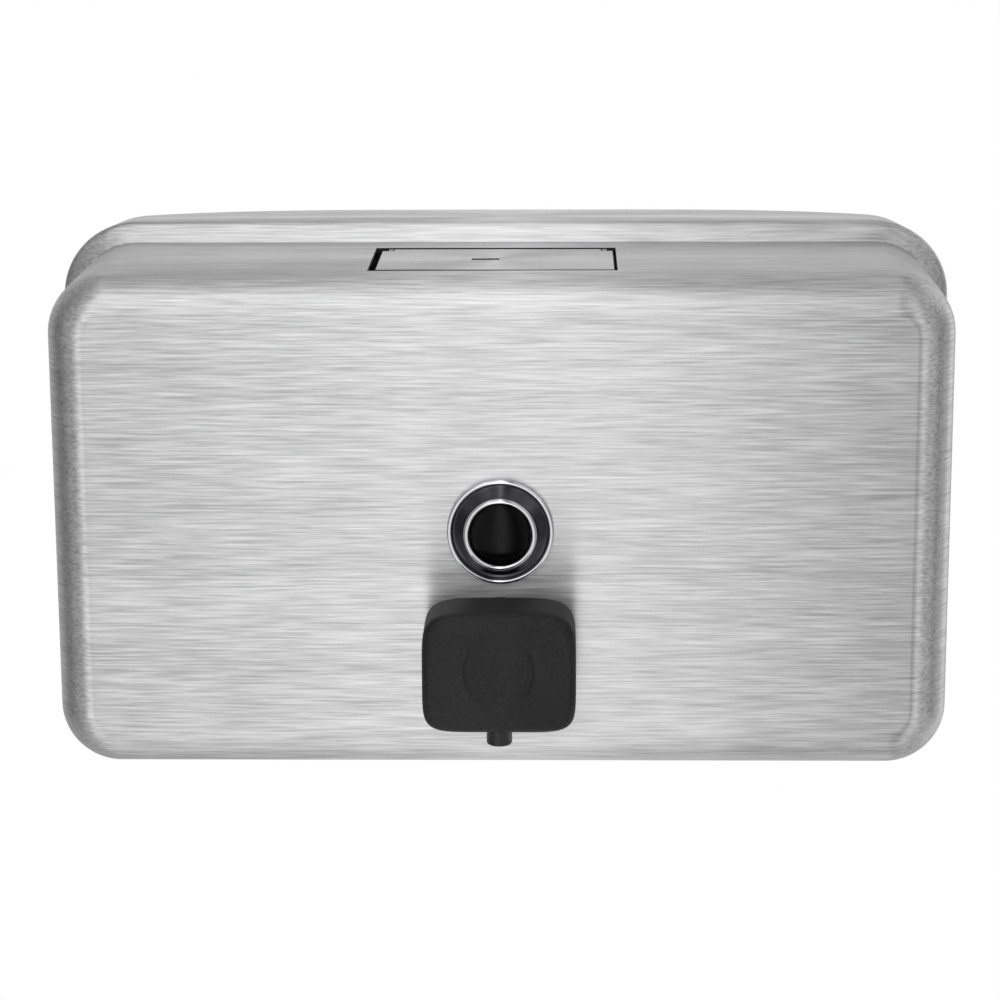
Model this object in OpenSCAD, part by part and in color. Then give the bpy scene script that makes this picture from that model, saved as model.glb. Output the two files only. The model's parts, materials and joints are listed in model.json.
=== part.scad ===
// Wall-mounted horizontal soap dispenser: a drawn steel tank with a locked filler lid, a refill window
// and a push-in valve, hung on a concealed wall bracket.
// Frame: the wall is the plane y = 0, the room is at -y, +z is up, and the origin is the middle of the
// four wall screws. Millimetres.

/* [Body] */
// Width across the rear rim
rim_w = 206; // [176:1:250]
// Height across the rear rim, at its crest
rim_h = 120; // [104:0.2:146]
// Step from the rim in to the front shell, at the sides
rim_step_side = 3.9; // [2:0.1:5]
// Step from the rim in to the front shell, at the top and the bottom
rim_step_top = 4.5; // [2:0.1:5]
// How much the rim's back edge bows past its crest, at the top and the bottom
rim_crown = 0.5; // [0:0.1:1.5]
// How much that back edge drops from its middle to its ends
rim_droop = 2.8; // [1:0.1:3.5]
// Depth of the rear rim, from the wall
rim_d = 19.8; // [17:0.1:24]
// Depth of the body, from the wall to the face
body_d = 72; // [60:1:90]
// Thickness of the steel sheet
sheet = 0.8; // [0.6:0.1:1.2]
// Radius of the front shell's corners, seen from the front
corner_r = 13.5; // [12:0.5:22]
// Radius of the rounding all round the face
edge_r = 9; // [5:0.5:11]
// Where the tank's back panel stands, from the wall
back_gap = 16; // [14.5:0.5:17]

/* [Filler] */
// Width of the filler opening
opening_w = 54.6; // [46:0.2:80]
// Depth of the filler opening, from front to back
opening_d = 34; // [31:0.5:35]
// Middle of the filler opening, left or right of the middle of the body
opening_x = -1.7; // [-10:0.1:10]
// Mean gap at each end of the lid
lid_end_gap = 1.25; // [0.8:0.05:2]
// How far the lid sits off the middle of its opening
lid_play = 0.5; // [0:0.1:0.6]
// Gap along the lid's front and back edges
lid_gap = 0.8; // [0.3:0.05:1.2]
// Depth of the lid's turned-down ends
lid_skirt = 5; // [3:0.5:7]
// Radius of the hinge pin
pin_r = 0.8; // [0.6:0.05:1]
// Length of the key slot
key_slot_l = 6.2; // [4:0.1:10]
// Width of the key slot
key_slot_w = 2; // [0.8:0.1:2.4]
// Key slot, left or right of the middle of the lid
key_slot_x = -2.4; // [-6:0.1:6]
// Width of the latch leaf
latch_w = 10; // [8:0.5:14]

/* [Window] */
// Radius of the bezel's flange
bezel_r = 11.7; // [10.8:0.1:13]
// How far the bezel stands out of the face
bezel_h = 4.4; // [3.4:0.1:6]
// Radius of the clear part of the lens
lens_r = 6.8; // [5.5:0.1:7]
// Radius of the bezel's shank
window_shank_r = 9.3; // [9:0.1:10]
// Middle of the window above the middle of the valve
window_rise = 25; // [24.5:0.5:32]

/* [Valve] */
// Middle of the valve above the underside of the front shell
valve_rise = 30; // [28:0.1:40]
// Radius of the valve's shank
valve_shank_r = 8; // [7.5:0.1:9]
// Radius of the valve's flange
valve_flange_r = 10; // [9.5:0.1:10.3]
// Radius of the piston's bore
bore_r = 5.5; // [5:0.1:6]
// Radius of the hollow piston rod
rod_r = 3; // [2.6:0.1:3.2]
// Radius of the passage through the rod
rod_bore_r = 1.3; // [1:0.1:1.5]
// Travel of the push button
stroke = 9; // [6:0.5:10]
// Length of the return spring with the button out
spring_l = 18; // [16:0.5:21]
// Radius of the spring's wire
wire_r = 0.45; // [0.3:0.05:0.55]
// Working turns of the spring
spring_turns = 6; // [4:1:8]
// Radius of the inlet ball
ball_r = 2.4; // [2:0.1:2.6]
// Outer radius of the pickup tube
tube_r = 2.4; // [2:0.1:2.8]

/* [Button] */
// Width of the push button
button_w = 33; // [31:0.5:42]
// Height of the push button
button_h = 26.6; // [25.4:0.2:30]
// Depth of the push button
button_d = 15; // [14:0.5:18]
// Wall of the push button
button_wall = 1.6; // [1.2:0.1:1.8]
// Radius of the button's corners
button_corner_r = 4; // [2:0.5:6]
// Radius of the finger dish
dish_r = 8; // [6:0.5:9]
// Depth of the finger dish
dish_d = 1.2; // [0.6:0.1:1.4]
// Outer radius of the spout
spout_r = 2.75; // [2.4:0.05:3]
// How far the spout reaches below the button
spout_drop = 3.4; // [2:0.2:8]

/* [Wall mounting] */
// Distance between the wall screws, sideways
screw_x = 120; // [80:1:150]
// Distance between the wall screws, up and down
screw_z = 60; // [40:1:64]
// Radius of the wall screw holes
screw_hole_r = 2.5; // [2:0.1:3]
// Width of the wall bracket
bracket_w = 150; // [110:1:164]
// Thickness of the bracket and the hanger rail
plate = 1.5; // [1:0.1:2]
// Radius of the locking screw
lock_r = 2; // [1.5:0.1:2.5]

/* [Hidden] */

fine = 96;
coarse = 32;             // for shapes that are hulled, or too small to see
fit = 0.05;              // clearance of parts that slide, turn or nest
loose = 0.35;            // clearance of round parts that pass without touching
hole_gap = 0.2;          // clearance of a shank or a screw in sheet steel
cut = 1;                 // how far a cutter runs past what it cuts
slice = 0.01;            // thickness of a section that is hulled

steel = "silver";
chrome = "gainsboro";
spring_steel = "lightsteelblue";
black_plastic = [0.11, 0.11, 0.12];
white_plastic = [0.9, 0.9, 0.86];
rubber = [0.2, 0.2, 0.2];

// Front shell, rear rim and tank
face_y = -body_d;
face_back = face_y + sheet;
shell_w = rim_w - 2 * rim_step_side;
shell_h = rim_h - 2 * rim_step_top;
shell_back = -12;
shell_top = shell_h / 2;
in_top = shell_top - sheet;
valley_y = -rim_d;
shoulder_d = 3.1;        // depth of the shoulder, from the front shell out to the crest
crest_y = valley_y + shoulder_d;
rim_corner_r = corner_r + rim_step_side;
collar_t = 1;            // the collar round the front shell, behind the shoulder
collar_l = 5;
rim_bottom = -rim_h / 2;
panel_y = -back_gap - sheet;
panel_inset = 0.5;       // how far the back panel's flange stops short of the shell's back edge

// Filler opening and lid
opening_land = 0.5;      // flat steel between the face's rounding and the opening
opening_front = face_y + edge_r + opening_land;
opening_back = opening_front + opening_d;
lid_x = opening_x + lid_play;
lid_w = opening_w - 2 * lid_end_gap;
lid_front = opening_front + lid_gap;
knuckle_r = pin_r + 0.8;
knuckle_half = lid_w / 2 - 2.6;
pin_y = opening_back - lid_gap - knuckle_r;
pin_z = shell_top - knuckle_r;
hinge_play = 0.3;        // between the knuckle and each ear, and past each ear to the pin's end
ear_t = 1;
ear_half = knuckle_half + hinge_play;
pin_half = ear_half + ear_t + hinge_play;
hinge_reach = valley_y - opening_back - 2;

// Key slot, latch leaf and keeper
slot_setback = 16.6;
slot_x = lid_x + key_slot_x;
slot_y = opening_front + slot_setback;
leaf_t = 0.5;
leaf_top = in_top - fit;
leaf_y = slot_y + 3.4;
leaf_foot = 9;
stud_r = 0.7;
stud_x = 2.6;
stud_y = leaf_y + 6;
stud_head_r = 1.3;
stud_head_h = 0.8;
hook_z = shell_top - 10;
hook_reach = 6;
hook_h = 1.6;
hook_ramp = 3;           // height of the slope that the key slides down
keeper_back = slot_y - 0.9;
keeper_t = 0.8;
keeper_z = hook_z + 0.3;
keeper_drop = 9;

// Window
valve_z = -shell_h / 2 + valve_rise;
window_z = valve_z + window_rise;
gasket_t = 0.6;
inner_gasket_t = 1;
gasket_gap = 0.1;        // clearance of a gasket round its shank
nut_t = 4;
flange_back = face_y - gasket_t;
bezel_front = face_y - bezel_h;
bezel_back = face_y + 10;
bezel_lip = 1.2;
bezel_edge_r = 0.75;
lens_seat_r = lens_r + 1.2;
lens_t = 3;
lens_front = bezel_front + bezel_lip;
lens_back = lens_front + lens_t;
lens_boss = 0.9;
seal_t = 1.2;
seal_w = 1.3;
retainer_t = 2;
retainer_w = 1.6;

// Valve, from the front to the back
flange_front = flange_back - 1.8;
neck_front = flange_front - 3.4;
neck_r = 6.5;
wiper_w = 1.6;
cap_front = neck_front - 1;
cap_wall = 1.5;
cap_gap = 0.3;
gland_back = face_y + 2;
piston_front = gland_back + 0.1;
piston_l = 8;
rod_socket = 2;          // length of the rod held in the piston, and in the button's boss
seal_groove = 1.4;       // depth of the piston seal's groove
seal_groove_y = piston_front + 3;
seal_groove_l = 2.4;
spring_front = piston_front + piston_l;
spring_back = spring_front + spring_l;
spring_mean_r = bore_r - wire_r - 0.5;
retainer_l = 1;
retainer_hole_r = 0.9;
cylinder_back = spring_back + 3;
end_cap_l = 8.4;
cage_gap = 0.3;          // clearance of the ball in its cage
port_r = 1.5;
ball_seat_y = spring_back + 6.4;
ball_y = ball_seat_y - sqrt(ball_r * ball_r - port_r * port_r);
port_y = ball_seat_y + 2.2;
floor_gap = 1.6;
tube_bottom = -shell_h / 2 + sheet + floor_gap;
tube_socket = 6;
tube_notch = [1.8, 1.5]; // width and height of the notches at the tube's foot
elbow_r = tube_r + 1.4;
elbow_drop = valve_shank_r + 3;

// Push button and spout
boss_back = cap_front - stroke - 0.5;
boss_front = boss_back - 6.2;
boss_r = rod_r + 2.4;
button_inside = boss_front - 0.1;
button_front = button_inside - 2;
button_back = button_front + button_d;
button_z = valve_z - 0.8;
button_bottom = button_z - button_h / 2;
button_edge = [2, 0.6];  // the front edge's bevel: how far in, and how deep
rib_x = 7.2;
rib = [1.2, 5, 14];
spout_y = (boss_back + boss_front) / 2;
spout_bottom = button_bottom - spout_drop;
spout_gap = 0.15;
duckbill_r = 2;
duckbill_l = 4;
lips = [3.4, 1];         // width and thickness of the duckbill's lips
slit = [2.2, 0.2];       // width and thickness of the slit between them

// Wall mounting
lip_h = 9;
lip_y = -9.5;
lift_room = 8.8;         // from the lip's top to the shell's top, so the tank can be lifted off
bracket_top = shell_h / 2 - lip_h - lift_room;
bracket_bottom = 5.8 - shell_h / 2;
screw_edge = 3;          // steel left round a screw hole
screw_head_gap = 2.5;    // room for a screw's head and its driver, past the hole
wall_plate_w = max(bracket_w, screw_x + 2 * (screw_hole_r + screw_edge));
wall_plate_top = max(bracket_top, screw_z / 2 + screw_hole_r + screw_edge);
wall_plate_bottom = min(bracket_bottom, -screw_z / 2 - screw_hole_r - screw_edge);
rail_w = bracket_w - 20;
rail_drop = 12;
rail_gap = 0.6;          // between the rail's hook and the bracket's lip
hook_rise = 1.5;         // from the bracket's shelf to the rail's hook
lock_y = -6;
tab_w = 20;
tab_reach = 5;
lock_head_h = 2.2;
lock_drive_h = 1.4;
lock_tip = 5;            // how far the locking screw reaches above the bracket's lower edge

// ---- Shared shapes ----------------------------------------------------------------------------------

// A flat x-z outline, made solid from y0 to y1
module slab(y0, y1) translate([0, y1, 0]) rotate([90, 0, 0]) linear_extrude(y1 - y0) children();

// A y-z outline, made solid across x, w wide about x
module across(x, w) translate([x - w / 2, 0, 0]) rotate([90, 0, 90]) linear_extrude(w) children();

// A (radius, y) profile turned about an axis along y at height z
module turned(z) translate([0, 0, z]) rotate([-90, 0, 0]) rotate_extrude($fn = fine) children();

// A round bar along y
module bar(r, y0, y1, z, x = 0)
    translate([x, y0, z]) rotate([-90, 0, 0]) cylinder(r = r, h = y1 - y0, $fn = fine);

// A ring along y
module ring(r_out, r_in, y0, y1, z) difference() {
    bar(r_out, y0, y1, z);
    bar(r_in, y0 - cut, y1 + cut, z);
}

// A hexagon nut along y, its flats at the top and the bottom
module hex_nut(across_flats, r_in, y0, y1, z) difference() {
    translate([0, y0, z]) rotate([-90, 0, 0]) cylinder(r = across_flats / sqrt(3), h = y1 - y0, $fn = 6);
    bar(r_in, y0 - cut, y1 + cut, z);
}

// A rectangle with round corners, centred
module round_rect(w, h, r) {
    square([w - 2 * r, h], center = true);
    square([w, h - 2 * r], center = true);
    for (sx = [-1, 1], sz = [-1, 1]) translate([sx * (w / 2 - r), sz * (h / 2 - r)]) circle(r, $fn = fine);
}

// Half section of a pan's edge: x out to the wall at big_r, y back from the face
module edge_section(big_r, round_r, l) intersection() {
    square([big_r, l]);
    union() {
        square([big_r - round_r, l]);
        translate([0, round_r]) square([big_r, l - round_r]);
        translate([big_r - round_r, round_r]) circle(round_r, $fn = fine);
    }
}

// A solid block with round corners and a rounded face edge, its face at y0
module pan_block(w, h, big_r, round_r, y0, y1) {
    l = y1 - y0;
    a = w / 2 - big_r;
    b = h / 2 - big_r;
    for (k = [0:3]) translate([[1, -1, -1, 1][k] * a, y0, [-1, -1, 1, 1][k] * b])
        rotate([0, 90 * k, 0]) rotate([-90, 0, 0])
            rotate_extrude(angle = 90, $fn = fine) edge_section(big_r, round_r, l);
    for (turn = [0, 180]) rotate([0, turn, 0]) translate([a, y0, -b])
        linear_extrude(2 * b) edge_section(big_r, round_r, l);
    across(0, 2 * a) translate([y0, 0]) {
        translate([round_r, -h / 2]) square([l - round_r, h]);
        translate([0, round_r - h / 2]) square([l, h - 2 * round_r]);
        for (s = [-1, 1]) translate([round_r, s * (h / 2 - round_r)]) circle(round_r, $fn = fine);
    }
}

// Half the height, at x, of a w by h rectangle with corners of radius r, whose long edges drop towards
// their ends
function drooped(x, w, h, r) = h / 2 - r + sqrt(max(0, r * r - pow(max(0, abs(x) - w / 2 + r), 2)))
    - rim_droop * pow(2 * abs(x) / w, 4);

// Its outline
module drooped_rect(w, h, r) {
    upper = [for (i = [0:fine / 2]) let (x = w / 2 * cos(360 * i / fine)) [x, drooped(x, w, h, r)]];
    polygon(concat(upper, [for (i = [fine / 2:-1:0]) [upper[i][0], -upper[i][1]]]));
}

// ---- Tank --------------------------------------------------------------------------------------------

module front_shell() color(steel) difference() {
    pan_block(shell_w, shell_h, corner_r, edge_r, face_y, shell_back);
    pan_block(shell_w - 2 * sheet, shell_h - 2 * sheet, corner_r - sheet, edge_r - sheet,
              face_back, shell_back + cut);
    bar(window_shank_r + hole_gap, face_y - cut, face_back + cut, window_z);
    bar(valve_shank_r + hole_gap, face_y - cut, face_back + cut, valve_z);
    translate([opening_x - opening_w / 2, opening_front, shell_top - 2 * sheet])
        cube([opening_w, opening_d, 4 * sheet]);
}

// The solid of the rear rim: a steep shoulder from the front shell out to the crest, then back to the wall.
// inset moves every side in, for the hollow.
module rim_block(inset, y_back) {
    hull() {
        slab(valley_y + inset, valley_y + inset + slice)
            round_rect(shell_w - 2 * inset, shell_h - 2 * inset, corner_r - inset, $fn = coarse);
        rim_crest(inset);
    }
    hull() {
        rim_crest(inset);
        slab(y_back - slice, y_back)
            drooped_rect(rim_w - 2 * inset, rim_h + 2 * rim_crown - 2 * inset, rim_corner_r - inset);
    }
}

module rim_crest(inset) slab(crest_y + inset, crest_y + inset + slice)
    round_rect(rim_w - 2 * inset, rim_h - 2 * inset, rim_corner_r - inset, $fn = coarse);

module rear_frame() color(steel) difference() {
    union() {
        difference() {
            rim_block(0, 0);
            rim_block(sheet, cut);
        }
        // the collar that the front shell is welded into
        slab(valley_y + 1.5 * sheet, valley_y + collar_l)
            round_rect(shell_w + 2 * collar_t, shell_h + 2 * collar_t, corner_r + collar_t);
    }
    slab(valley_y - cut, cut) round_rect(shell_w + fit, shell_h + fit, corner_r + fit / 2);
    translate([0, lock_y, rim_bottom - rim_crown - cut])
        cylinder(r = lock_r + hole_gap, h = rim_step_top + rim_crown + cut, $fn = fine);
}

// A shallow pan pressed into the open back of the front shell
module tank_back() color(steel) difference() {
    slab(panel_y, shell_back - panel_inset)
        round_rect(shell_w - 2 * sheet - fit, shell_h - 2 * sheet - fit, corner_r - sheet - fit / 2);
    slab(panel_y + sheet, shell_back + cut)
        round_rect(shell_w - 4 * sheet, shell_h - 4 * sheet, corner_r - 2 * sheet);
}

// ---- Wall mounting -----------------------------------------------------------------------------------

// The rail on the tank's back that hooks down behind the bracket's lip
module hanger_rail() color(steel) across(0, rail_w) {
    top = bracket_top + lip_h;
    hook_y = lip_y + plate + rail_gap;
    translate([-back_gap, top - rail_drop]) square([plate, rail_drop + plate]);
    translate([-back_gap, top]) square([hook_y + plate + back_gap, plate]);
    translate([hook_y, top - lip_h + hook_rise]) square([plate, lip_h - hook_rise + plate / 2]);
}

module wall_bracket() color(steel) difference() {
    union() {
        slab(-plate, 0) translate([-wall_plate_w / 2, wall_plate_bottom])
            square([wall_plate_w, wall_plate_top - wall_plate_bottom]);
        across(0, bracket_w) {
            translate([lip_y, bracket_top - plate]) square([-lip_y, plate]);
            translate([lip_y, bracket_top - plate]) square([plate, lip_h + plate]);
        }
        // the tab that the locking screw is threaded into
        across(0, tab_w) translate([lock_y - tab_reach, bracket_bottom])
            square([tab_reach - lock_y, 2 * plate]);
    }
    for (sx = [-1, 1], sz = [-1, 1]) {
        bar(screw_hole_r, -2 * plate, plate, sz * screw_z / 2, sx * screw_x / 2);
        bar(screw_hole_r + screw_head_gap, lip_y - cut, -plate, sz * screw_z / 2, sx * screw_x / 2);
    }
    translate([0, lock_y, bracket_bottom - cut])
        cylinder(r = lock_r + fit, h = 2 * plate + 2 * cut, $fn = fine);
}

// Driven from below, through the rim, with a hexagon key
module lock_screw() color(spring_steel) {
    head_top = rim_bottom - rim_crown;
    drive_r = 0.7 * lock_r;
    translate([0, lock_y, head_top - lock_head_h]) difference() {
        cylinder(r1 = 2 * drive_r, r2 = 2 * lock_r, h = lock_head_h, $fn = fine);
        translate([0, 0, -cut]) cylinder(r = drive_r, h = cut + lock_drive_h, $fn = 6);
    }
    translate([0, lock_y, head_top - fit])
        cylinder(r = lock_r, h = bracket_bottom + lock_tip - head_top, $fn = fine);
}

// ---- Filler lid --------------------------------------------------------------------------------------

module filler_lid() color(steel) {
    notch = lid_w / 2 - knuckle_half;
    side_front = lid_front + 1;
    side_l = pin_y - lid_front - 5;
    lip_w = lid_w - 8;
    lip_drop = 1.6;
    difference() {
        union() {
            translate([lid_x - lid_w / 2, lid_front, in_top]) cube([lid_w, pin_y - lid_front, sheet]);
            for (s = [-1, 1])
                translate([lid_x + s * (lid_w - sheet) / 2 - sheet / 2, side_front, in_top - lid_skirt])
                    cube([sheet, side_l, lid_skirt + sheet / 2]);
            translate([lid_x - lip_w / 2, lid_front, in_top - lip_drop])
                cube([lip_w, sheet, lip_drop + sheet / 2]);
            across(lid_x, 2 * knuckle_half) translate([pin_y, pin_z]) circle(knuckle_r, $fn = fine);
        }
        // rear corners cut away round the hinge ears
        for (s = [-1, 1]) translate([lid_x + s * (knuckle_half + (notch + cut) / 2) - (notch + cut) / 2,
                                     pin_y - knuckle_r - cut, in_top - lid_skirt - cut])
            cube([notch + cut, 2 * knuckle_r + 2 * cut, lid_skirt + sheet + 2 * cut]);
        across(lid_x, lid_w + 2 * cut) translate([pin_y, pin_z]) circle(pin_r + fit, $fn = fine);
        translate([slot_x - key_slot_l / 2, slot_y - key_slot_w / 2, in_top - cut])
            cube([key_slot_l, key_slot_w, sheet + 2 * cut]);
    }
}

module lid_hinge_pin() color(spring_steel)
    across(lid_x, 2 * pin_half) translate([pin_y, pin_z]) circle(pin_r, $fn = fine);

// Two ears on a strip that is welded under the top, behind the opening
module lid_hinge_bracket() color(steel) difference() {
    union() {
        for (s = [-1, 1]) across(lid_x + s * (ear_half + ear_t / 2), ear_t) {
            translate([pin_y, pin_z]) circle(knuckle_r, $fn = fine);
            translate([pin_y, pin_z - knuckle_r])
                square([opening_back + hinge_reach - pin_y, in_top - fit - pin_z + knuckle_r]);
        }
        translate([lid_x - ear_half - ear_t, opening_back + ear_t, in_top - fit - sheet])
            cube([2 * (ear_half + ear_t), hinge_reach - ear_t, sheet]);
    }
    across(lid_x, 2 * pin_half + 2 * cut) translate([pin_y, pin_z]) circle(pin_r, $fn = fine);
}

// A leaf that hangs from the lid, behind the key slot, and hooks forward under the keeper.
// The key slides down the hook's slope and presses the leaf back.
module latch_leaf() across(slot_x, latch_w) polygon([
    [leaf_y + leaf_t, hook_z - hook_h], [leaf_y + leaf_t, leaf_top - leaf_t],
    [leaf_y + leaf_foot, leaf_top - leaf_t], [leaf_y + leaf_foot, leaf_top], [leaf_y, leaf_top],
    [leaf_y, hook_z + hook_ramp], [leaf_y - hook_reach + 2, hook_z], [leaf_y - hook_reach, hook_z],
    [leaf_y - hook_reach, hook_z - 1], [leaf_y, hook_z - hook_h]]);

module latch_spring() color(spring_steel) difference() {
    latch_leaf();
    for (s = [-1, 1]) translate([slot_x + s * stud_x, stud_y, leaf_top - leaf_t - cut])
        cylinder(r = stud_r + fit, h = leaf_t + 2 * cut, $fn = fine);
}

// Studs welded to the lid's underside and headed over below the leaf
module latch_rivets() color(spring_steel) for (s = [-1, 1]) translate([slot_x + s * stud_x, stud_y, 0]) {
    head_top = leaf_top - leaf_t;
    translate([0, 0, head_top - stud_head_h]) cylinder(r = stud_head_r, h = stud_head_h, $fn = fine);
    translate([0, 0, head_top - stud_head_h / 2])
        cylinder(r = stud_r, h = in_top - head_top + stud_head_h / 2, $fn = fine);
}

// A tongue welded behind the face, whose back edge the hook catches under
module latch_keeper() color(steel) {
    w = latch_w + 2;
    translate([slot_x - w / 2, face_back, keeper_z]) cube([w, keeper_back - face_back, keeper_t]);
    translate([slot_x - w / 2, face_back, keeper_z - keeper_drop])
        cube([w, keeper_t, keeper_drop + keeper_t / 2]);
}

// ---- Refill window -----------------------------------------------------------------------------------

module window_bezel() color(chrome) turned(window_z) difference() {
    // a cone from a narrow lip at the front out to a flange with a round edge
    lip_in = lens_r + 0.8;
    lip_out = lens_r + 1.1;
    lip_d = 0.5;
    cone_r = bezel_r - 0.9;
    union() {
        polygon([[0, bezel_front], [lip_in, bezel_front], [lip_out, bezel_front + lip_d],
                 [cone_r, flange_back - 0.9], [cone_r, flange_back], [0, flange_back]]);
        translate([bezel_r - bezel_edge_r, flange_back - bezel_edge_r]) circle(bezel_edge_r, $fn = fine);
        translate([0, flange_back - bezel_edge_r]) square([bezel_r - bezel_edge_r, bezel_edge_r]);
        translate([0, flange_back - fit]) square([window_shank_r, bezel_back - flange_back + fit]);
    }
    translate([-cut, bezel_front - cut]) square([lens_r + cut, bezel_back - bezel_front + 2 * cut]);
    translate([-cut, lens_front]) square([lens_seat_r + cut, bezel_back - lens_front + cut]);
}

module window_lens() color([0.75, 0.8, 0.82, 0.4]) {
    bar(lens_seat_r - fit, lens_front + fit, lens_back, window_z);
    bar(lens_r - fit, lens_front - lens_boss, lens_front + 2 * fit, window_z);
}

module lens_seal() color(rubber)
    ring(lens_seat_r - fit, lens_seat_r - seal_w, lens_back + fit, lens_back + seal_t, window_z);

module lens_retainer() color(white_plastic)
    ring(lens_seat_r - fit, lens_seat_r - retainer_w, lens_back + seal_t + fit,
         lens_back + seal_t + retainer_t, window_z);

module window_gasket() color(rubber)
    ring(bezel_r - 0.4, window_shank_r + gasket_gap, face_y - gasket_t, face_y, window_z);

module window_inner_gasket() color(rubber)
    ring(window_shank_r + 2, window_shank_r + gasket_gap, face_back, face_back + inner_gasket_t, window_z);

module window_nut() color(white_plastic)
    hex_nut(2 * window_shank_r + 4.6, window_shank_r + fit, face_back + inner_gasket_t,
            face_back + inner_gasket_t + nut_t, window_z);

// ---- Valve -------------------------------------------------------------------------------------------

module valve_cylinder() color(black_plastic) turned(valve_z) difference() {
    union() {
        translate([0, neck_front]) square([neck_r, flange_back - neck_front]);
        translate([0, flange_front]) square([valve_flange_r, flange_back - flange_front]);
        translate([0, flange_back - fit]) square([valve_shank_r, cylinder_back - flange_back + fit]);
    }
    translate([-cut, neck_front - cut]) square([rod_r + fit + cut, cylinder_back - neck_front + 2 * cut]);
    translate([-cut, neck_front - cut]) square([rod_r + wiper_w + cut, wiper_w + cut]);
    translate([-cut, gland_back]) square([bore_r + cut, cylinder_back - gland_back + cut]);
}

module valve_gasket() color(rubber)
    ring(valve_flange_r, valve_shank_r + gasket_gap, face_y - gasket_t, face_y, valve_z);

module valve_inner_gasket() color(rubber)
    ring(valve_flange_r, valve_shank_r + gasket_gap, face_back, face_back + inner_gasket_t, valve_z);

module valve_nut() color(white_plastic)
    hex_nut(2 * valve_shank_r + 5, valve_shank_r + fit, face_back + inner_gasket_t,
            face_back + inner_gasket_t + nut_t, valve_z);

module rod_wiper() color(rubber)
    ring(rod_r + wiper_w - fit, rod_r + fit, neck_front + fit, neck_front + wiper_w - fit, valve_z);

module gland_cap() color(black_plastic) turned(valve_z) difference() {
    translate([0, cap_front]) square([neck_r + cap_wall, flange_front - cap_gap - cap_front]);
    translate([-cut, neck_front - fit]) square([neck_r + fit + cut, flange_front - neck_front + cut]);
    translate([-cut, cap_front - cut]) square([rod_r + loose + cut, neck_front - cap_front + 2 * cut]);
}

module piston_rod() color(spring_steel)
    ring(rod_r, rod_bore_r, boss_front + rod_socket, piston_front + piston_l - rod_socket, valve_z);

module piston() color(white_plastic) turned(valve_z) difference() {
    translate([0, piston_front]) square([bore_r - loose, piston_l]);
    translate([bore_r - seal_groove, seal_groove_y]) square([seal_groove + cut, seal_groove_l]);
    translate([-cut, piston_front - cut]) square([rod_r + cut, piston_l - rod_socket + cut]);
    translate([-cut, piston_front + cut]) square([rod_bore_r + cut, piston_l]);
}

module piston_seal() color(rubber)
    ring(bore_r - fit, bore_r - seal_groove + fit, seal_groove_y + fit, seal_groove_y + seal_groove_l - fit,
         valve_z);

// A coil swept along its own helix, closed at both ends
module coil(mean_r, wire, turns, y0, y1, z) {
    sides = 8;
    steps = turns * 20;
    rise = (y1 - y0 - 2 * wire) / steps;
    points = [for (i = [0:steps], k = [0:sides - 1])
        let (t = 360 * i * turns / steps, a = 360 * k / sides, r = mean_r + wire * cos(a))
        [r * cos(t), y0 + wire + rise * i + wire * sin(a), z + r * sin(t)]];
    side_faces = [for (i = [0:steps - 1], k = [0:sides - 1])
        let (a = i * sides + k, b = i * sides + (k + 1) % sides)
        [a, b, b + sides, a + sides]];
    ends = [[for (k = [sides - 1:-1:0]) k], [for (k = [0:sides - 1]) steps * sides + k]];
    polyhedron(points, concat(side_faces, ends));
}

module return_spring() color(spring_steel)
    coil(spring_mean_r, wire_r, spring_turns, spring_front, spring_back, valve_z);

// A washer under the spring that keeps the ball in its cage and lets soap past
module ball_retainer() color(spring_steel) difference() {
    bar(bore_r - fit, spring_back, spring_back + retainer_l, valve_z);
    for (k = [0:3]) bar(retainer_hole_r, spring_back - cut, spring_back + retainer_l + cut,
                        valve_z + 2.4 * sin(45 + 90 * k), 2.4 * cos(45 + 90 * k));
}

module inlet_ball() color(spring_steel) translate([0, ball_y, valve_z]) sphere(r = ball_r, $fn = fine);

module cylinder_end_cap() color(black_plastic) {
    plug_front = spring_back + retainer_l;
    back = cylinder_back + end_cap_l;
    difference() {
        union() {
            bar(bore_r - fit, plug_front, cylinder_back + fit, valve_z);
            bar(valve_shank_r, cylinder_back, back, valve_z);
            translate([0, port_y, valve_z - elbow_drop]) cylinder(r = elbow_r, h = elbow_drop, $fn = fine);
        }
        bar(ball_r + cage_gap, plug_front - cut, ball_seat_y, valve_z);
        bar(port_r, ball_seat_y - cut, port_y, valve_z);
        translate([0, port_y, valve_z - elbow_drop - cut]) {
            cylinder(r = port_r, h = elbow_drop + cut, $fn = fine);
            cylinder(r = tube_r, h = tube_socket + cut, $fn = fine);
        }
    }
}

module pickup_tube() color(white_plastic) translate([0, port_y, tube_bottom]) difference() {
    l = valve_z - elbow_drop + tube_socket - 2 * fit - tube_bottom;
    cylinder(r = tube_r, h = l, $fn = fine);
    translate([0, 0, -cut]) cylinder(r = port_r, h = l + 2 * cut, $fn = fine);
    translate([-tube_r - cut, -tube_notch[0] / 2, -cut])
        cube([2 * tube_r + 2 * cut, tube_notch[0], cut + tube_notch[1]]);
}

// ---- Push button and spout ---------------------------------------------------------------------------

// Outline of the button: a crowned top and a nearly straight underside. inset moves it in.
module button_outline(inset) {
    a = button_w / 2 - inset;
    b = button_h / 2 - inset;
    count = 64;
    top = 2 + 12 / button_corner_r;
    under = 2 + 18 / button_corner_r;
    polygon([for (i = [0:count - 1]) let (t = 360 * i / count, n = i < count / 2 ? top : under)
        [a * sign(cos(t)) * pow(abs(cos(t)), 2 / n), b * sign(sin(t)) * pow(abs(sin(t)), 2 / n)]]);
}

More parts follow.
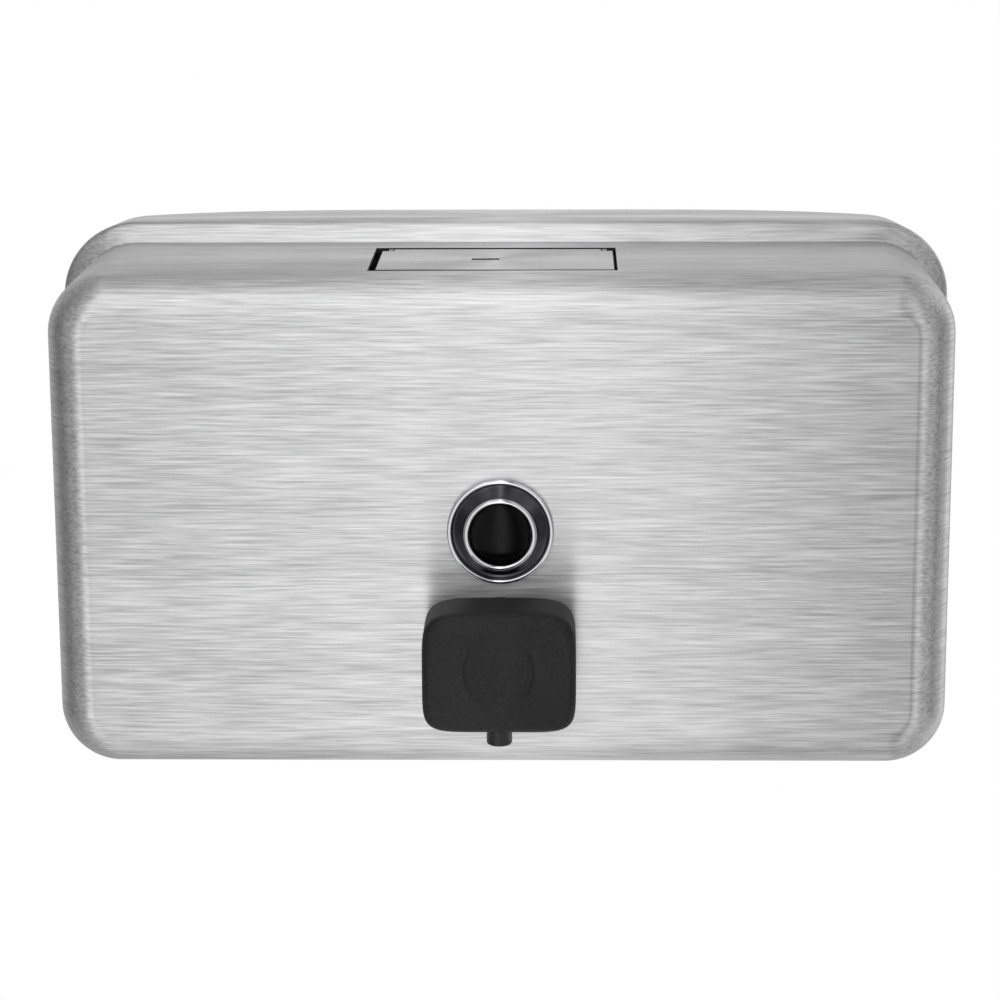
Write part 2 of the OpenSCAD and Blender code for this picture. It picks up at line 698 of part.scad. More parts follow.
module push_button() color(black_plastic) {
    dish_sphere_r = (dish_r * dish_r + dish_d * dish_d) / (2 * dish_d);
    difference() {
        translate([0, 0, button_z]) hull() {
            slab(button_front, button_front + slice) button_outline(button_edge[0]);
            slab(button_front + button_edge[1], button_back) button_outline(0);
        }
        translate([0, 0, button_z]) slab(button_inside, button_back + cut) button_outline(button_wall);
        translate([0, button_front + dish_d - dish_sphere_r, valve_z]) sphere(r = dish_sphere_r, $fn = fine);
        translate([0, spout_y, button_bottom - cut])
            cylinder(r = spout_r + spout_gap, h = button_wall + cut + 3, $fn = fine);
    }
    // two ribs that the spout's boss clips between
    for (s = [-1, 1])
        translate([s * rib_x - rib[0] / 2, button_inside - fit, button_z - rib[2] / 2]) cube(rib);
}

module spout() color(black_plastic) difference() {
    union() {
        bar(boss_r, boss_front, boss_back, valve_z);
        translate([0, spout_y, spout_bottom]) cylinder(r = spout_r, h = valve_z - spout_bottom, $fn = fine);
    }
    bar(rod_r, boss_front + rod_socket, boss_back + cut, valve_z);
    translate([0, spout_y, spout_bottom - cut])
        cylinder(r = rod_bore_r, h = valve_z - spout_bottom + cut, $fn = fine);
    translate([0, spout_y, spout_bottom - cut]) cylinder(r = duckbill_r, h = duckbill_l + cut, $fn = fine);
}

// A rubber valve pressed into the spout's tip, with a slit at its lower end
module spout_duckbill() color(rubber) translate([0, spout_y, spout_bottom]) difference() {
    top = duckbill_l - 0.1;
    hull() {
        translate([0, 0, 2.6]) cylinder(r = duckbill_r - fit, h = top - 2.6, $fn = coarse);
        translate([-lips[0] / 2, -lips[1] / 2, 0.3]) cube([lips[0], lips[1], 0.1]);
    }
    translate([0, 0, 1.6]) cylinder(r = slit[0] / 2, h = top, $fn = coarse);
    translate([-slit[0] / 2, -slit[1] / 2, 0]) cube([slit[0], slit[1], 2]);
}

front_shell();
rear_frame();
tank_back();
hanger_rail();
wall_bracket();
lock_screw();
filler_lid();
lid_hinge_pin();
lid_hinge_bracket();
latch_spring();
latch_rivets();
latch_keeper();
window_bezel();
window_lens();
lens_seal();
lens_retainer();
window_gasket();
window_inner_gasket();
window_nut();
valve_cylinder();
valve_gasket();
valve_inner_gasket();
valve_nut();
rod_wiper();
gland_cap();
piston_rod();
piston();
piston_seal();
return_spring();
ball_retainer();
inlet_ball();
cylinder_end_cap();
pickup_tube();
push_button();
spout();
spout_duckbill();
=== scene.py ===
# %% [markdown]
# # A wall-mounted soap dispenser
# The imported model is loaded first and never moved. Everything made here is measured from it, so a finished
# piece always sits where the engineering model says. Pieces that only need a finish keep their own shape,
# and pieces whose softness matters to the eye are made again with more care.

# %% Load the model
import json
import math

import bmesh
import bpy
from mathutils import Matrix, Vector


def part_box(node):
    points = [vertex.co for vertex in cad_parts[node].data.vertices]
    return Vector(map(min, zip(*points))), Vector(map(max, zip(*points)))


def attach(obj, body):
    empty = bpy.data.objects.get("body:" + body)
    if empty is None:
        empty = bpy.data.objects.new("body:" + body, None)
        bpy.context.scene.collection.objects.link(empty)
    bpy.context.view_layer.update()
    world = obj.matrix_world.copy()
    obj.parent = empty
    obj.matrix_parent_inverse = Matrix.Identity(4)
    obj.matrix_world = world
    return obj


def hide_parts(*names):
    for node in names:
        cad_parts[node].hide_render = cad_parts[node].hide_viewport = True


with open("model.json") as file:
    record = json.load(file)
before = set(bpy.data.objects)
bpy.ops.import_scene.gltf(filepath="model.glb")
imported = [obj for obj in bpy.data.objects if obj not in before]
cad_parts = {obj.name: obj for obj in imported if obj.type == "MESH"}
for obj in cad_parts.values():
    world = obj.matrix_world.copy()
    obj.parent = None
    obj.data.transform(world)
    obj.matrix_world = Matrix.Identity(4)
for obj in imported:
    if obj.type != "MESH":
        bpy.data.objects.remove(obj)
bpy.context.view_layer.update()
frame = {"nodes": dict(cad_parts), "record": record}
nodes = frame["nodes"]
scene = bpy.context.scene
MM = 0.001

# %% [markdown]
# ## Camera
# The dispenser hangs at about chest height, so it is seen from a little above. A long lens stands well back
# from it, a little to the right and turned to face it, which keeps the top and the front nearly parallel.
# Distances are from the middle of the face.

# %% Camera
shell_low, shell_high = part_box("front_shell")
face_y = shell_low[1]
LENS, PITCH_DEG, YAW_DEG, ROLL_DEG = 108.45, 13.08, 1.285, -0.28
CAMERA_FROM_FACE = Vector((0.0143, -0.6402, 0.1552))

camera_data = bpy.data.cameras.new("studio_camera")
camera_data.lens = LENS
camera_data.sensor_width = 36
camera_data.clip_start = 0.01
camera = bpy.data.objects.new("studio_camera", camera_data)
scene.collection.objects.link(camera)
camera.location = Vector((0, face_y, 0)) + CAMERA_FROM_FACE
turn = [Matrix.Rotation(math.radians(angle), 3, axis)
        for angle, axis in ((YAW_DEG, "Z"), (90 - PITCH_DEG, "X"), (ROLL_DEG, "Z"))]
camera.rotation_euler = (turn[0] @ turn[1] @ turn[2]).to_euler()
scene.camera = camera
print("camera at", [round(v, 4) for v in camera.location])

# %% [markdown]
# ## Writing shader maths as sums
# A node tree is easier to read as a formula. `Signal` wraps one socket, and the ordinary operators on it add
# Math nodes. `Finish` holds one tree and has a single method for every other kind of node.

# %% Shader helpers
class Signal:
    """A value in a node tree, which can be used in ordinary arithmetic."""

    def __init__(self, tree, socket):
        self.tree, self.socket = tree, socket

    def math(self, operation, first, second=None, clamp=False):
        node = self.tree.nodes.new("ShaderNodeMath")
        node.operation, node.use_clamp = operation, clamp
        for socket, value in zip(node.inputs, (first, second)):
            if isinstance(value, Signal):
                self.tree.links.new(value.socket, socket)
            elif value is not None:
                socket.default_value = value
        return Signal(self.tree, node.outputs[0])

    def __add__(self, other): return self.math("ADD", self, other)
    def __radd__(self, other): return self.math("ADD", other, self)
    def __sub__(self, other): return self.math("SUBTRACT", self, other)
    def __rsub__(self, other): return self.math("SUBTRACT", other, self)
    def __mul__(self, other): return self.math("MULTIPLY", self, other)
    def __rmul__(self, other): return self.math("MULTIPLY", other, self)
    def __pow__(self, other): return self.math("POWER", self, other)
    def __abs__(self): return self.math("ABSOLUTE", self)
    def clipped(self): return self.math("ADD", self, 0.0, clamp=True)

    def hump(self, centre, width):
        """A smooth bump of height 1 at centre, which falls away over about the given width."""
        offset = (self - centre) * (1 / width)
        return self.math("EXPONENT", offset * offset * -1.0)

    def rise(self, start, end):
        """0 below start, 1 above end, and an even slope between."""
        return ((self - start) * (1 / (end - start))).clipped()


class Finish:
    """A node tree with one way to add any node."""

    def __init__(self, tree):
        self.tree = tree

    def node(self, kind, settings=None, inputs=None, output=0):
        node = self.tree.nodes.new("ShaderNode" + kind)
        for name, value in (settings or {}).items():
            setattr(node, name, value)
        for name, value in (inputs or {}).items():
            if isinstance(value, Signal):
                self.tree.links.new(value.socket, node.inputs[name])
            else:
                node.inputs[name].default_value = value
        return Signal(self.tree, node.outputs[output])

    def parts(self, vector):
        """The x, y and z of a vector."""
        first = self.node("SeparateXYZ", inputs={"Vector": vector})
        return [Signal(self.tree, socket) for socket in first.socket.node.outputs]

    def streaks(self, place, scale, detail=3.0, rough=0.55):
        """Noise stretched by a different scale along each axis."""
        stretched = self.node("Mapping", inputs={"Vector": place, "Scale": scale})
        return self.node("TexNoise", inputs={"Vector": stretched, "Scale": 1.0, "Detail": detail, "Roughness": rough})


def new_finish(name, **sockets):
    """A material with one Principled shader, whose unchanging values are set on the shader itself."""
    material = bpy.data.materials.new(name)
    material.use_nodes = True
    shader = material.node_tree.nodes["Principled BSDF"]
    for socket, value in sockets.items():
        shader.inputs[socket.replace("_", " ")].default_value = value
    return material, Finish(material.node_tree), shader


def feed(shader, socket, signal):
    signal.tree.links.new(signal.socket, shader.inputs[socket])


print("shader helpers ready")

# %% [markdown]
# ## The studio
# Steel has hardly any colour of its own: what it shows is the room. So the room is drawn as a
# brightness for each direction. A tall soft light stands in front, just right of the middle, with darker
# walls on both sides that give the rounded edges their dark lines. The camera itself sees plain white.

# %% Studio surroundings
world = bpy.data.worlds.new("studio")
world.use_nodes = True
scene.world = world
world.node_tree.nodes.clear()
studio = Finish(world.node_tree)
toward = studio.node("TexCoord")
look_x, look_y, look_z = studio.parts(toward)

front = (look_y * -1.0).rise(-0.1, 0.5)
room = 0.57 + (0.30 + 0.92 * front) * look_x.hump(-0.008, 0.055) + 0.22 * look_x.hump(0.0, 0.14)
room = room + 0.11 * look_x.hump(-0.14, 0.07) * front - 0.42 * look_x.rise(0.02, 0.12) * front
room = room + 0.62 * look_x.hump(-0.40, 0.15) * front + 0.85 * look_x.hump(0.42, 0.17) * front
room = room - 0.13 * (look_x * -1.0).rise(0.56, 0.72) - 0.24 * (look_x * -1.0).rise(0.88, 0.97)
room = room + 0.36 * look_x.rise(0.50, 0.70) - 0.52 * look_x.rise(0.84, 0.95)
room = room - 0.16 * look_z.hump(0.85, 0.20)
room = studio.node("Math", {"operation": "MAXIMUM"}, {0: room, 1: 0.02})
lit = studio.node("Background", inputs={"Color": (1, 1, 1, 1), "Strength": room})
plain = studio.node("Background", inputs={"Color": (1, 1, 1, 1), "Strength": 1.0})
path = studio.node("LightPath")
sky = world.node_tree.nodes.new("ShaderNodeMixShader")
for source, socket in ((path, 0), (lit, 1), (plain, 2)):
    world.node_tree.links.new(source.socket, sky.inputs[socket])
output = world.node_tree.nodes.new("ShaderNodeOutputWorld")
world.node_tree.links.new(sky.outputs[0], output.inputs["Surface"])
scene.view_settings.view_transform = "Standard"
print("studio world has", len(world.node_tree.nodes), "nodes")

# %% [markdown]
# A plain pale floor lies well below. It is kept out of the steel's reflections, so that the drawn room alone
# decides them.

# %% Floor and lamp
floor_bm = bmesh.new()
bmesh.ops.create_grid(floor_bm, x_segments=1, y_segments=1, size=0.7)
bmesh.ops.translate(floor_bm, verts=floor_bm.verts, vec=(0, 0, -0.45))
floor_mesh = bpy.data.meshes.new("floor")
floor_bm.to_mesh(floor_mesh)
floor_bm.free()
floor = bpy.data.objects.new("floor", floor_mesh)
scene.collection.objects.link(floor)
floor.visible_glossy = False
floor_finish, _, _ = new_finish("pale_floor", Base_Color=(0.82, 0.82, 0.82, 1), Roughness=0.8)
floor_mesh.materials.append(floor_finish)

lamp_data = bpy.data.lights.new("overhead_softbox", "AREA")
lamp_data.energy, lamp_data.size = 0.75, 0.6
lamp = bpy.data.objects.new("overhead_softbox", lamp_data)
scene.collection.objects.link(lamp)
lamp.location = (-0.15, -0.75, 0.75)
lamp.rotation_euler = (Vector((0, face_y, 0)) - lamp.location).to_track_quat("-Z", "Y").to_euler()
print("floor and one soft lamp placed")

# %% [markdown]
# ## Brushed steel
# The sheet is brushed from left to right before it is drawn to shape. On the face and the top the scratches
# run along x. On the side walls the same scratches turn the corner and run back towards the wall. Two sets
# of streaks are made, and the way the surface faces chooses between them. The scratches spread reflections
# across themselves, which the anisotropic setting gives.

# %% Brushed steel
def brushed_steel(name, tone, rough, contrast):
    material, finish, shader = new_finish(name, Metallic=1.0, Anisotropic=0.86, Anisotropic_Rotation=0.25)
    place = finish.node("TexCoord", output=3)
    facing = finish.parts(finish.node("NewGeometry", output=1))
    side = abs(facing[0]).rise(0.60, 0.85)
    along, across, broad = 78.0, 2400.0, 260.0
    fine = finish.streaks(place, (along, across, across))
    fine_side = finish.streaks(place, (along, along, across))
    hair = fine * (1 - side) + fine_side * side
    wide = finish.streaks(place, (6.0, broad, broad), detail=2.0)
    cloud = finish.streaks(place, (14.0, 14.0, 14.0), detail=2.0)
    level = (hair - 0.5) * contrast + (wide - 0.5) * (contrast * 0.22) + (cloud - 0.5) * 0.05
    shade = finish.node("Mix", {"data_type": "RGBA", "blend_type": "MIX"}, {0: level + 0.5}, output=2)
    mix = shade.socket.node
    low, high = tone * 0.70, tone * 1.30
    mix.inputs[6].default_value = (low, low, low * 1.01, 1)
    mix.inputs[7].default_value = (high, high, high * 1.01, 1)
    feed(shader, "Base Color", shade)
    feed(shader, "Roughness", rough + (hair - 0.5) * 0.16)
    bump = finish.node("Bump", inputs={"Height": hair, "Strength": 0.12, "Distance": 0.00003})
    feed(shader, "Normal", bump)
    return material


case_steel = brushed_steel("case_steel", tone=0.60, rough=0.36, contrast=2.3)
plain_steel = brushed_steel("plain_sheet_steel", tone=0.52, rough=0.42, contrast=0.8)
print("brushed steels made")

# %% [markdown]
# ## The other finishes
# Turned and drawn steel is shinier and finer. Chrome is almost a mirror, with faint haze where fingers have
# been. Moulded plastic and rubber are dull and carry a fine grain.

# %% Other finishes
def grained(name, colour, rough, grain, depth, metallic=0.0, variation=0.15, speckle=1.0, **sockets):
    material, finish, shader = new_finish(name, Metallic=metallic, **sockets)
    place = finish.node("TexCoord", output=3)
    fine = finish.streaks(place, (grain,) * 3, detail=2.0)
    patch = finish.streaks(place, (60.0,) * 3, detail=2.0)
    shade = finish.node("Mix", {"data_type": "RGBA", "blend_type": "MIX"},
                        {0: ((fine * 0.6 + patch * 0.4 - 0.5) * speckle + 0.5).clipped()}, output=2)
    mix = shade.socket.node
    mix.inputs[6].default_value = (*[c * (1 - variation) for c in colour], 1)
    mix.inputs[7].default_value = (*[min(1.0, c * (1 + variation)) for c in colour], 1)
    feed(shader, "Base Color", shade)
    feed(shader, "Roughness", (rough + (patch - 0.5) * 0.12 + (fine - 0.5) * 0.10).clipped())
    feed(shader, "Normal", finish.node("Bump", inputs={"Height": fine, "Strength": 0.5, "Distance": depth}))
    return material


turned_steel = grained("turned_steel", (0.60, 0.60, 0.62), 0.24, 900.0, 0.000004, metallic=1.0)
spring_steel = grained("drawn_spring_steel", (0.46, 0.47, 0.50), 0.30, 1200.0, 0.000004, metallic=1.0)
chrome = grained("bezel_chrome", (0.78, 0.78, 0.80), 0.06, 300.0, 0.0000005, metallic=1.0, variation=0.03)
textured_black = grained("textured_black_plastic", (0.0095, 0.0092, 0.0100), 0.54, 1700.0, 0.00020,
                         variation=0.95, speckle=3.2,
                         Specular_IOR_Level=0.38)
smooth_black = grained("smooth_black_plastic", (0.008, 0.008, 0.009), 0.36, 2200.0, 0.00001)
natural_plastic = grained("natural_plastic", (0.74, 0.73, 0.68), 0.45, 1500.0, 0.00001, variation=0.06)
seal_rubber = grained("seal_rubber", (0.015, 0.015, 0.016), 0.66, 1800.0, 0.00002)
clear_lens = grained("clear_lens", (0.10, 0.105, 0.11), 0.03, 250.0, 0.0000004, variation=0.03,
                     Transmission_Weight=1.0, IOR=1.2)

smoked_chrome = grained("smoked_chrome", (0.085, 0.085, 0.090), 0.16, 900.0, 0.000002, metallic=1.0, variation=0.35)
# A near-black painted shade for the edges round the lid gaps and in the rim's seam, so that they read dark.
gap_shade = grained("painted_gap_shade", (0.020, 0.020, 0.021), 0.75, 2500.0, 0.00003, variation=0.4)

finish_of_slot = {"brushed_case": case_steel, "plain_sheet": plain_steel, "turned_steel": turned_steel,
                  "spring_steel": spring_steel, "bezel_chrome": chrome, "clear_lens": clear_lens,
                  "seal_rubber": seal_rubber, "natural_plastic": natural_plastic,
                  "valve_plastic": smooth_black, "button_plastic": textured_black}
slot_of_node = {part["node"]: part["material_slot"] for part in frame["record"]["subparts"]}
for name, node in nodes.items():
    for index in range(len(node.material_slots)):
        node.material_slots[index].material = finish_of_slot[slot_of_node[name]]
print("finishes on", len(nodes), "nodes")

# %% [markdown]
# ## One tool for soft shapes: the loft
# The rim, the button, the bezel and the lens are all one ring of points carried along a path. The ring starts
# as a plain circle. Each step extrudes it and pushes the new points out to the next outline, every point along
# its own direction. Extruding keeps each point paired with the one it came from, where bridging separate
# circles may pair them across the opening.

# %% Outlines and the loft
def rounded(half_w, half_h, radius):
    """How far a rounded rectangle's edge is from its middle, in a direction given by its cosine and sine."""
    def reach(c, s):
        c, s = max(abs(c), 1e-9), max(abs(s), 1e-9)
        if half_w / c * s <= half_h - radius:
            return half_w / c
        if half_h / s * c <= half_w - radius:
            return half_h / s
        middle = c * (half_w - radius) + s * (half_h - radius)
        outside = (half_w - radius) ** 2 + (half_h - radius) ** 2 - radius ** 2
        return middle + math.sqrt(max(middle * middle - outside, 0.0))
    return reach


def bowed(half_w, half_h, upper, lower):
    """The edge of a superellipse, which may be squarer below than above."""
    def reach(c, s):
        power = upper if s >= 0 else lower
        return (abs(c / half_w) ** power + abs(s / half_h) ** power) ** (-1 / power)
    return reach


def drooped(half_w, half_h, radius, droop):
    """A rounded rectangle whose top and bottom drop towards its ends. The edge is found by halving steps."""
    plain = rounded(half_w, half_h, radius)

    def reach(c, s):
        inside, step = 0.0, math.hypot(half_w, half_h)
        for _ in range(30):
            step /= 2
            x, z = abs((inside + step) * c), abs((inside + step) * s)
            z += droop * (x / half_w) ** 4
            away = math.hypot(x, z)
            if away <= plain(x / away, z / away):
                inside += step
        return inside
    return reach


def between(first, second, share):
    """An outline part of the way from the first to the second."""
    return lambda c, s: first(c, s) * (1 - share) + second(c, s) * share


def loft(name, rings, middle, steps=96, close_start=False, close_end=False, finish_of_band=None):
    """Carries a ring of points through (outline, y) stations about a middle (x, z).
    The first and last can be filled."""
    bm = bmesh.new()

    def push_out(ring, outline, y):
        for vert in ring:
            c, s = vert.co.x - middle[0], vert.co.z - middle[1]
            away = math.hypot(c, s)
            reach = outline(c / away, s / away)
            vert.co = (middle[0] + c / away * reach, y, middle[1] + s / away * reach)

    ring = bmesh.ops.create_circle(bm, segments=steps, radius=1.0)["verts"]
    for vert in ring:
        vert.co = (middle[0] + vert.co.x, 0.0, middle[1] + vert.co.y)
    push_out(ring, *rings[0])
    first = last = bm.edges[:]
    for band, station in enumerate(rings[1:]):
        made = bmesh.ops.extrude_edge_only(bm, edges=last)["geom"]
        ring = {item for item in made if isinstance(item, bmesh.types.BMVert)}
        last = [item for item in made if isinstance(item, bmesh.types.BMEdge) and set(item.verts) <= ring]
        push_out(ring, *station)
        for face in made:
            if isinstance(face, bmesh.types.BMFace):
                face.material_index = (finish_of_band or {}).get(band, 0)
    for wanted, loop in ((close_start, first), (close_end, last)):
        if wanted:
            bmesh.ops.holes_fill(bm, edges=loop)
    bmesh.ops.remove_doubles(bm, verts=bm.verts, dist=1e-7)
    bmesh.ops.recalc_face_normals(bm, faces=bm.faces)
    return to_object(bm, name)


def to_object(bm, name, sharp_deg=35):
    mesh = bpy.data.meshes.new(name)
    bm.to_mesh(mesh)
    bm.free()
    mesh.shade_smooth()
    mesh.set_sharp_from_angle(angle=math.radians(sharp_deg))
    piece = bpy.data.objects.new(name, mesh)
    scene.collection.objects.link(piece)
    return piece


def settle(piece, body, slot, finishes, *replaced):
    """Gives a piece its finishes, its body and the nodes it stands for."""
    for material in finishes:
        piece.data.materials.append(material)
    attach(piece, body)
    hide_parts(*replaced)
    print(piece.name, len(piece.data.polygons), "faces")
    return piece


def middle_of(node):
    low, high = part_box(node)
    return ((low[0] + high[0]) / 2, (low[2] + high[2]) / 2)


# %% [markdown]
# ## The rear rim
# The rim is one drawn frame. It climbs steeply away from the front shell, turns over a soft crest and runs
# back to the wall, bowing out a little as it goes. Round the shell it curls in over a hairline gap, so the two
# sheets meet in a soft step. A Solidify modifier gives the sheet its thickness.

# %% Rear rim
SHEET = 0.8 * MM
SEAM_GAP = 0.04 * MM
RIM_CROWN, RIM_DROOP, STEP_DEPTH = 0.5 * MM, 2.8 * MM, 3.1 * MM
rim_low, rim_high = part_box("rear_frame")
shell_w, shell_h = shell_high[0], shell_high[2]
rim_w, rim_back_h, valley = rim_high[0], rim_high[2], rim_low[1]
rim_h = rim_back_h - RIM_CROWN
corner = 13.5 * MM
crest_y = valley + STEP_DEPTH
crest_corner = corner + rim_w - shell_w
back = drooped(rim_w, rim_back_h, crest_corner, RIM_DROOP)
crest = rounded(rim_w, rim_h, crest_corner)
seam = rounded(shell_w + SEAM_GAP, shell_h + SEAM_GAP, corner + SEAM_GAP)
rim_rings = [(seam, valley + 1.6 * MM), (seam, valley + 0.1 * MM)]
for share, depth in ((0.5, 1.22), (0.8, 1.95), (0.92, 2.33), (0.98, 2.7)):
    rim_rings.append((between(seam, crest, share), valley + depth * MM))
rim_rings.append((crest, crest_y))
for share in (0.08, 0.2, 0.4, 0.6, 0.8, 1.0):
    rim_rings.append((between(crest, back, share), crest_y + share * (rim_high[1] - crest_y)))
# The innermost band, curled into the seam, takes the second finish: painted shade along the seam between rim and
# shell.
rear_rim = loft("rear_rim", rim_rings, (0, 0), steps=480, finish_of_band={0: 1})
thickness = rear_rim.modifiers.new("sheet", "SOLIDIFY")
thickness.thickness, thickness.offset = SHEET, -1
settle(rear_rim, "dispenser", "brushed_case", [case_steel, gap_shade], "rear_frame")

# %% [markdown]
# ## Folded and cut sheet
# The front shell and the lid already have the right shape. Their copies are merged into clean surfaces, and
# the edges round the filler opening, the lid and the key slot are painted near-black as painted shade, so that
# the gaps read dark and the lid reads as a separate piece.

# %% Front shell and lid
def merged_copy(node_name, name, in_painted_shade, is_soft):
    """A clean copy of a node. Edges along x whose height and depth pass is_soft are worn to a chamfer. The faces
    picked by the third argument take the second finish, painted shade.
    """
    bm = bmesh.new()
    bm.from_mesh(nodes[node_name].data)
    bmesh.ops.remove_doubles(bm, verts=bm.verts, dist=1e-6)
    bmesh.ops.dissolve_limit(bm, angle_limit=math.radians(0.5), verts=bm.verts, edges=bm.edges)
    worn = [edge for edge in bm.edges if all(is_soft(vert.co) for vert in edge.verts)]
    bmesh.ops.bevel(bm, geom=worn, offset=WORN, affect="EDGES", segments=1, profile=0.5, material=-1)
    print(name, len(worn), "edges worn")
    for face in bm.faces:
        face.material_index = 1 if in_painted_shade(face.calc_center_median(), face.normal) else 0
    piece = to_object(bm, name, sharp_deg=28)
    even = piece.modifiers.new("even_shading", "WEIGHTED_NORMAL")
    even.keep_sharp = True
    return piece


WORN, LID_GAP, OPENING_REACH = 0.4 * MM, 0.8 * MM, 4 * MM
lid_low, lid_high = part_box("filler_lid")
top_z = shell_high[2]
under_top = top_z - SHEET - 0.05 * MM


# Walls of the filler opening that take the painted shade, so the gap round the lid reads dark.
def opening_edge(centre, normal):
    near = (lid_low[0] - OPENING_REACH < centre.x < lid_high[0] + OPENING_REACH
            and lid_low[1] - OPENING_REACH < centre.y < lid_high[1] + OPENING_REACH)
    return near and abs(normal.z) < 0.9 and normal.x < 0.5 and centre.z > under_top


# The lid's edges and underside take the painted shade too.
def lid_edge(centre, normal):
    return abs(normal.z) < 0.9 or centre.z < under_top


def lid_front(point):
    return abs(point.y - lid_low[1]) < 0.01 * MM and point.z > top_z - 0.01 * MM


def opening_front(point):
    return (lid_low[0] - 4 * MM < point.x < lid_high[0] + 4 * MM and abs(point.y - (lid_low[1] - LID_GAP)) < 0.01 * MM
            and point.z > top_z - 0.01 * MM)


# On both pieces the second finish is the painted shade of the gap round the lid.
settle(merged_copy("front_shell", "drawn_front_shell", opening_edge, opening_front), "dispenser", "brushed_case",
       [case_steel, gap_shade], "front_shell")
settle(merged_copy("filler_lid", "lid_plate", lid_edge, lid_front), "lid", "brushed_case",
       [case_steel, gap_shade], "filler_lid")
for name in ("lid_hinge_bracket", "latch_keeper", "latch_spring", "latch_rivets"):
    for index in range(len(nodes[name].material_slots)):
        nodes[name].material_slots[index].material = plain_steel

# %% [markdown]
# ## The push button
# The button is a moulded cap with a crowned top, a flatter underside and a thumb dish in its face. The rings
# run from inside the cap, round its back edge, along the walls and over a soft front edge to the dish, whose
# last rings sink in a smooth curve.

# %% Push button
knob_low, knob_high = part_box("push_button")
knob_middle = middle_of("push_button")
half_w, half_h = (knob_high[0] - knob_low[0]) / 2, (knob_high[2] - knob_low[2]) / 2
front_y, back_y = knob_low[1], knob_high[1]
dish_drop = 0.8 * MM
WALL, DISH_W, DISH_H, DISH_DEPTH, CROWN = 1.6 * MM, 7.7 * MM, 8.5 * MM, 1.45 * MM, 0.45 * MM


def knob(inset):
    return bowed(half_w - inset, half_h - inset, 5.0, 6.5)


def dish(share):
    """An ellipse about the thumb dish, seen from the middle of the button."""
    def reach(c, s):
        a, b, up = DISH_W * share, DISH_H * share, dish_drop
        q, h, k = c * c / a ** 2 + s * s / b ** 2, s * up / b ** 2, up * up / b ** 2 - 1
        return (h + math.sqrt(max(h * h - q * k, 0.0))) / q
    return reach


knob_rings = [(knob(2.6 * MM), front_y + 2.0 * MM), (knob(WALL), front_y + 2.6 * MM), (knob(WALL), back_y - 0.3 * MM),
              (knob(WALL - 0.3 * MM), back_y), (knob(0.35 * MM), back_y), (knob(0.0), back_y - 0.35 * MM)]
knob_rings += [(knob(0.0), front_y + depth * MM) for depth in (11, 7, 4)]
for turn in range(1, 9):
    angle = math.radians(turn * 11.25)
    knob_rings.append((knob(2.0 * MM * (1 - math.cos(angle))), front_y + CROWN + 2.4 * MM * (1 - math.sin(angle))))
for share in (0.15, 0.3, 0.5, 0.7, 0.85, 0.95):
    knob_rings.append((between(knob(2.0 * MM), dish(1.04), share), front_y + CROWN * (1 - share) ** 2))
DISH_PROFILE = ((1.0, 0.03), (0.97, 0.16), (0.88, 0.34), (0.74, 0.54),
                (0.6, 0.71), (0.45, 0.85), (0.3, 0.94), (0.12, 1.0))
for share, depth in DISH_PROFILE:
    knob_rings.append((dish(share), front_y + DISH_DEPTH * depth))
button = loft("push_button_cap", knob_rings, knob_middle, steps=128, close_start=True, close_end=True)
settle(button, "plunger", "button_plastic", [textured_black], "push_button")

# %% [markdown]
# The spout keeps its own shape, apart from the outer edge of its lower end. A moulded tip has no sharp edge, so
# that one ring of edges is bevelled round.

# %% Spout tip
SPOUT_EDGE = 0.6 * MM
spout_bm = bmesh.new()
spout_bm.from_mesh(nodes["spout"].data)
bmesh.ops.remove_doubles(spout_bm, verts=spout_bm.verts, dist=1e-6)
bmesh.ops.dissolve_limit(spout_bm, angle_limit=math.radians(1), verts=spout_bm.verts, edges=spout_bm.edges)
spout_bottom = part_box("spout")[0][2]
tip = [vert for vert in spout_bm.verts if vert.co.z < spout_bottom + 0.05 * MM]
tip_middle = sum((vert.co for vert in tip), Vector()) / len(tip)
tip_r = max((vert.co - tip_middle).length for vert in tip)
outer_edges = [edge for edge in {edge for vert in tip for edge in vert.link_edges}
               if all(vert in tip and (vert.co - tip_middle).length > tip_r - 0.1 * MM for vert in edge.verts)]
bmesh.ops.bevel(spout_bm, geom=outer_edges, offset=SPOUT_EDGE, affect="EDGES", segments=5, profile=0.5, material=-1)
print("spout tip", round(tip_r / MM, 2), "mm in radius,", len(outer_edges), "edges rounded")
settle(to_object(spout_bm, "spout_tube"), "plunger", "valve_plastic", [smooth_black], "spout")

# %% [markdown]
# ## The refill window
# A plated bezel holds a clear lens. Its outer rim and the ring round the lens are bright, and the cone between
# them is smoked, so that it shows the room only as dim streaks.

# %% Bezel and lens
def disc(radius):
    return lambda c, s: radius


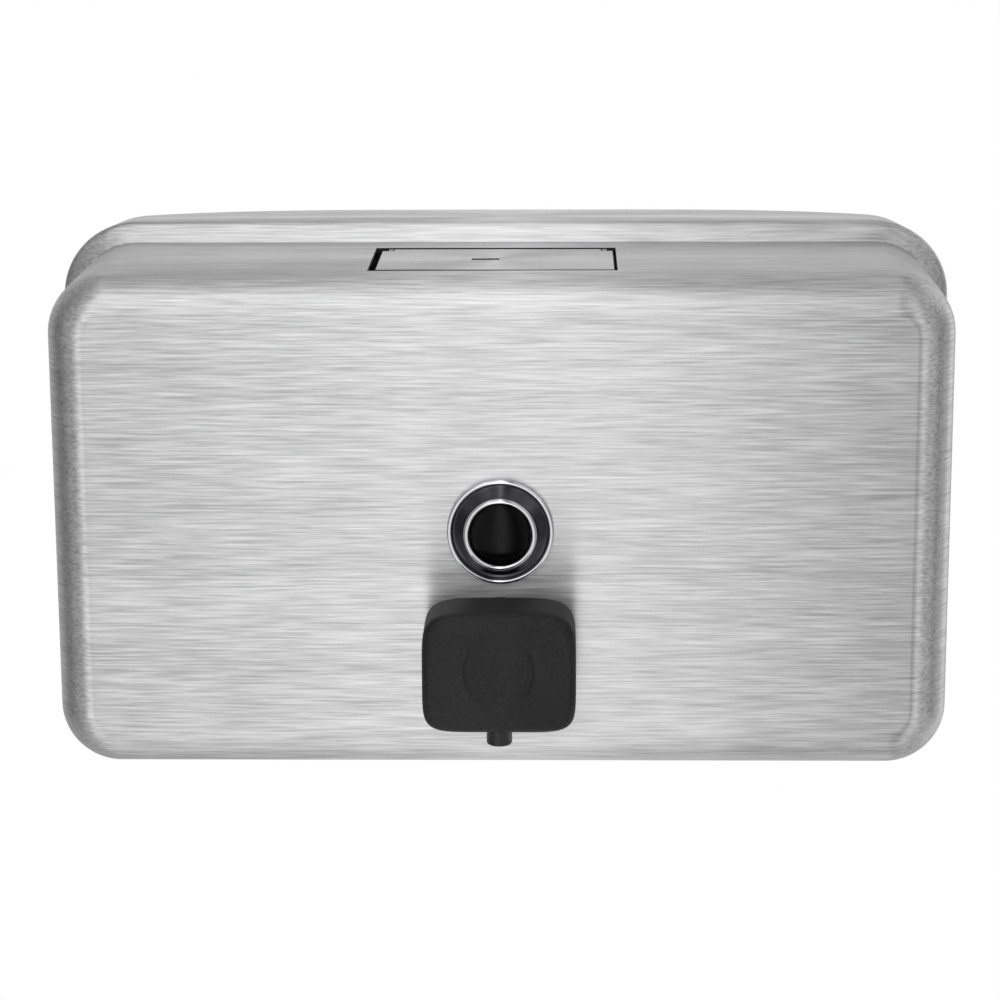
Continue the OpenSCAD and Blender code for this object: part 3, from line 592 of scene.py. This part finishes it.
def arc(radius, turn_y, tube, start, end, count):
    """Rings round a rolled edge: the tube's middle is at this radius and y, and it turns between two angles."""
    angles = [math.radians(start + (end - start) * i / count) for i in range(count + 1)]
    return [(disc(radius + tube * math.cos(a)), turn_y - tube * math.sin(a)) for a in angles]


bezel_low, bezel_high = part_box("window_bezel")
bezel_r = (bezel_high[0] - bezel_low[0]) / 2
bezel_front, flange_back = bezel_low[1], face_y - 0.6 * MM
window_at = middle_of("window_bezel")
edge = 0.52 * MM
bezel_rings = [(disc(9.3 * MM), bezel_high[1]), (disc(9.3 * MM), flange_back), (disc(bezel_r - 0.3 * MM), flange_back)]
bezel_rings += arc(bezel_r - edge, flange_back - edge, edge, -20, 150, 12)
cone_start = len(bezel_rings) - 1
bezel_rings += [(disc(bezel_r - 1.25 * MM), flange_back - 0.60 * MM), (disc(9.6 * MM), flange_back - 1.25 * MM),
                (disc(8.7 * MM), bezel_front + 1.3 * MM), (disc(8.0 * MM), bezel_front + 0.75 * MM)]
cone_end = len(bezel_rings) - 1
bezel_rings += arc(7.4 * MM, bezel_front + 0.5 * MM, 0.5 * MM, 20, 170, 10)
bezel_rings += [(disc(6.85 * MM), bezel_front + 1.2 * MM), (disc(8.0 * MM), bezel_front + 1.2 * MM),
                (disc(8.0 * MM), bezel_high[1])]
smoked = {band: 1 for band in range(cone_start, cone_end)}
smoked.update({len(bezel_rings) - 2: 1, len(bezel_rings) - 3: 1, len(bezel_rings) - 4: 1})
bezel = loft("plated_bezel", bezel_rings + bezel_rings[:1], window_at, finish_of_band=smoked)
settle(bezel, "dispenser", "bezel_chrome", [chrome, smoked_chrome], "window_bezel")

lens_low, lens_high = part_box("window_lens")
dome = [(disc(7.9 * MM), lens_high[1]), (disc(7.9 * MM), bezel_front + 1.3 * MM),
        (disc(6.7 * MM), bezel_front + 1.3 * MM)]
for share in (1.0, 0.96, 0.88, 0.7, 0.5, 0.3, 0.12):
    rise = math.sqrt(max(1 - share ** 2, 0.0))
    dome.append((disc(6.7 * MM * share), lens_low[1] + 0.7 * MM * (1 - rise)))
lens = loft("window_lens_dome", dome, window_at, close_start=True, close_end=True)
settle(lens, "dispenser", "clear_lens", [clear_lens], "window_lens")
